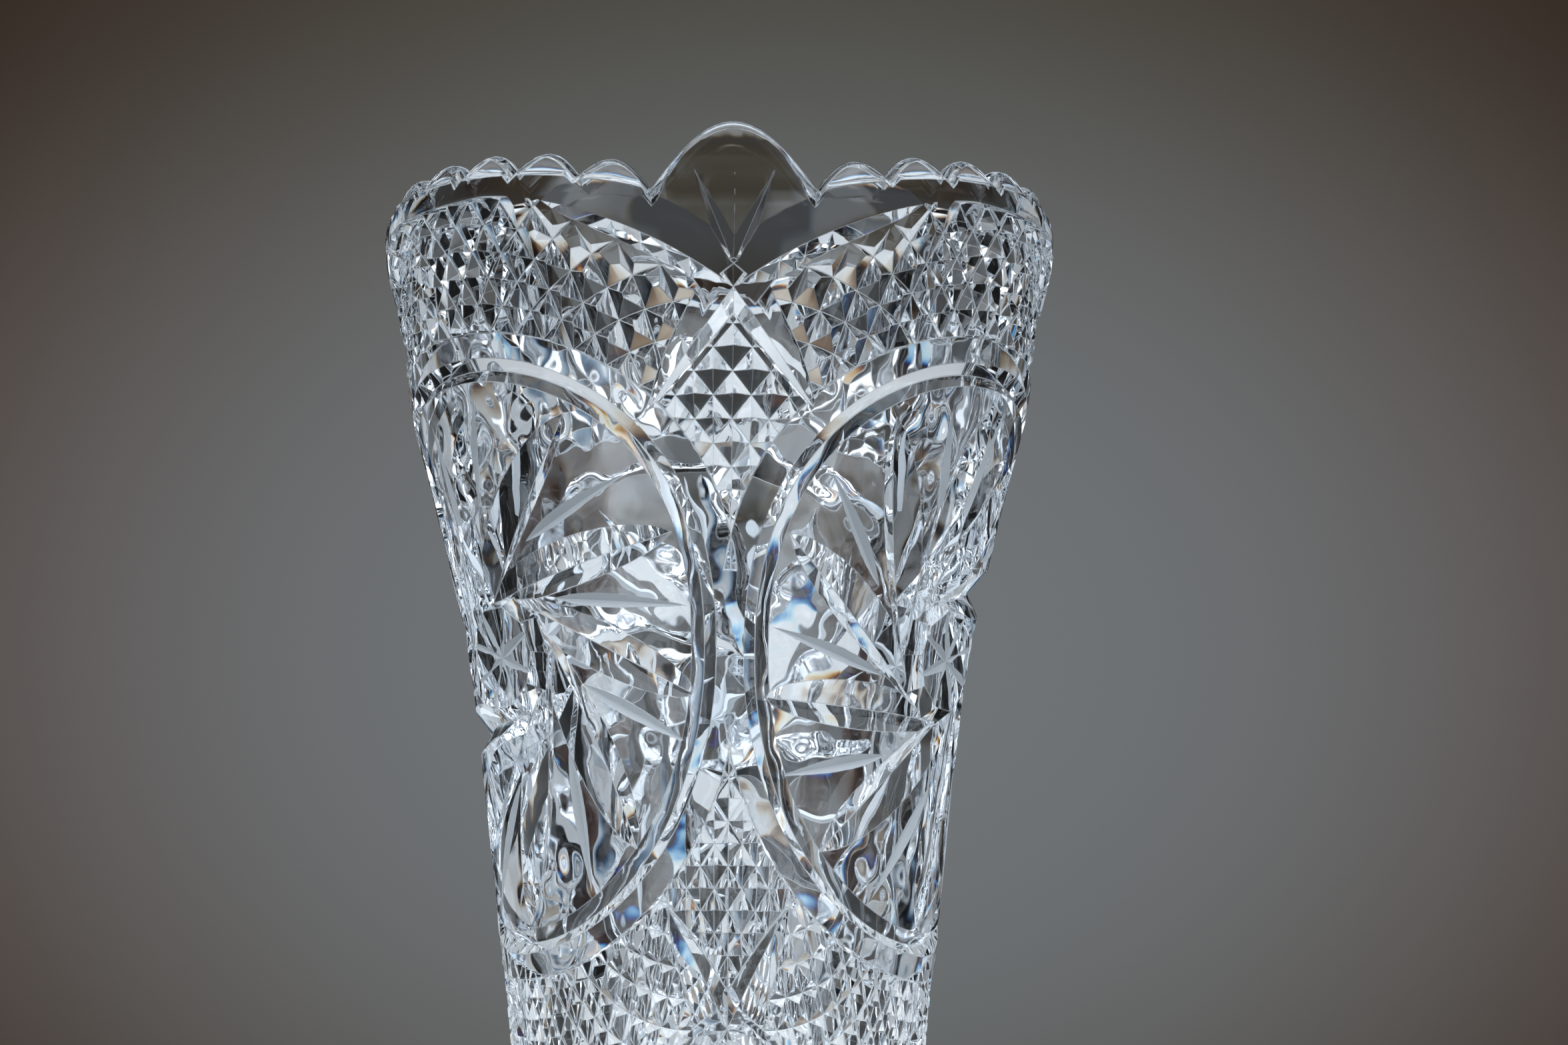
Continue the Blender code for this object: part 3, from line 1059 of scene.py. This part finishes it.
def spot_light(tree, azimuth, elevation, spot):
    """Brightness of the backdrop, which falls off round its spot to that of the dark room."""
    off = calculate(tree, "POWER", calculate(tree, "DIVIDE", azimuth, spot.half_width), 2.0)
    level = calculate(tree, "ADD", elevation, SPOT_DROP)
    up = calculate(tree, "POWER", calculate(tree, "DIVIDE", level, spot.half_height), 2.0)
    spread = calculate(tree, "POWER", calculate(tree, "ADD", off, up), SPOT_FALL)
    fall = calculate(tree, "EXPONENT", calculate(tree, "MULTIPLY", spread, -1.0))
    return calculate(tree, "MULTIPLY_ADD", fall, spot.strength, DARK_ROOM)


def studio_world():
    """Softboxes and a spotlit backdrop, fixed to the camera's line of sight.

    The boxes' edges lie a little apart in red, green and blue, as the glass would spread them.
    The standard view keeps the highlights in the glass white.
    """
    bpy.context.scene.view_settings.view_transform = "Standard"
    world = bpy.data.worlds.new("studio")
    bpy.context.scene.world = world
    world.use_nodes = True
    tree = world.node_tree
    tree.nodes.clear()
    output = tree.nodes.new("ShaderNodeOutputWorld")
    background = tree.nodes.new("ShaderNodeBackground")
    combine = tree.nodes.new("ShaderNodeCombineColor")
    azimuth, elevation = sight_angles(tree)
    for slot, spot in enumerate(BACKDROP_SPOT):
        shift = (slot - 1) * COLOUR_SHIFT
        total = spot_light(tree, azimuth, elevation, spot)
        for softbox in SOFTBOXES:
            light = softbox_light(tree, azimuth, elevation, softbox, shift)
            total = calculate(tree, "MULTIPLY_ADD", light, LIGHT_TINT[slot], total)
        tree.links.new(total, combine.inputs[slot])
    tree.links.new(combine.outputs[0], background.inputs["Color"])
    tree.links.new(background.outputs[0], output.inputs["Surface"])


def plinth():
    """The pale round stand that serves as the floor."""
    mesh = bmesh.new()
    bmesh.ops.create_cone(
        mesh, cap_ends=True, segments=96, radius1=STAND_RADIUS, radius2=STAND_RADIUS,
        depth=STAND_THICKNESS, matrix=Matrix.Translation((0, 0, -STAND_THICKNESS / 2 - STAND_GAP)),
    )
    data = bpy.data.meshes.new("plinth")
    mesh.to_mesh(data)
    mesh.free()
    thing = bpy.data.objects.new("plinth", data)
    bpy.context.scene.collection.objects.link(thing)
    material, tree, surface = new_material("plinth_paint")
    paint = {"Base Color": (0.55, 0.55, 0.54, 1), "Roughness": 0.6}
    shader = add_node(tree, "ShaderNodeBsdfPrincipled", paint)
    tree.links.new(shader.outputs[0], surface)
    data.materials.append(material)


def camera():
    """Below the vase's middle and looking up, with a long lens."""
    climb, turn = math.radians(CAMERA_CLIMB), math.radians(CAMERA_TURN)
    ahead = Vector((
        -math.sin(turn) * math.cos(climb), math.cos(turn) * math.cos(climb), math.sin(climb)
    ))
    right = ahead.cross(Vector((0, 0, 1))).normalized()
    aim = Vector((0, 0, CAMERA_AIM * UNIT))
    data = bpy.data.cameras.new("camera")
    data.sensor_width = 36
    data.lens = CAMERA_LENS
    thing = bpy.data.objects.new("camera", data)
    thing.location = aim - ahead * CAMERA_DISTANCE + right * CAMERA_ASIDE * UNIT
    thing.rotation_mode = "QUATERNION"
    thing.rotation_quaternion = ahead.to_track_quat("-Z", "Y")
    bpy.context.scene.collection.objects.link(thing)
    bpy.context.scene.camera = thing


def light_paths():
    """Enough bounces for light to get through the many walls of cut glass."""
    cycles = bpy.context.scene.cycles
    cycles.max_bounces = LIGHT_BOUNCES
    cycles.transmission_bounces = LIGHT_BOUNCES
    cycles.glossy_bounces = MIRROR_BOUNCES


def build_vase():
    """The finished vase, with its materials in the order of the surface slots."""
    body = turned_blank()
    for material in (
        crystal_material("crystal", BLANK_WAVE_DEPTH),
        crystal_material("crystal_cut", CUT_WAVE_DEPTH),
        frosted_material(),
    ):
        body.data.materials.append(material)
    glass = Glass(body)
    cut_rim(glass)
    cut_lattices(glass)
    cut_flutes(glass)
    cut_crosses(glass)
    cut_rings(glass)
    cut_panels(glass)
    cut_frost(glass)
    finish_surface(body)
    return body


vase = build_vase()
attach(vase, "root")
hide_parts("vase_body")
plinth()
studio_world()
camera()
light_paths()
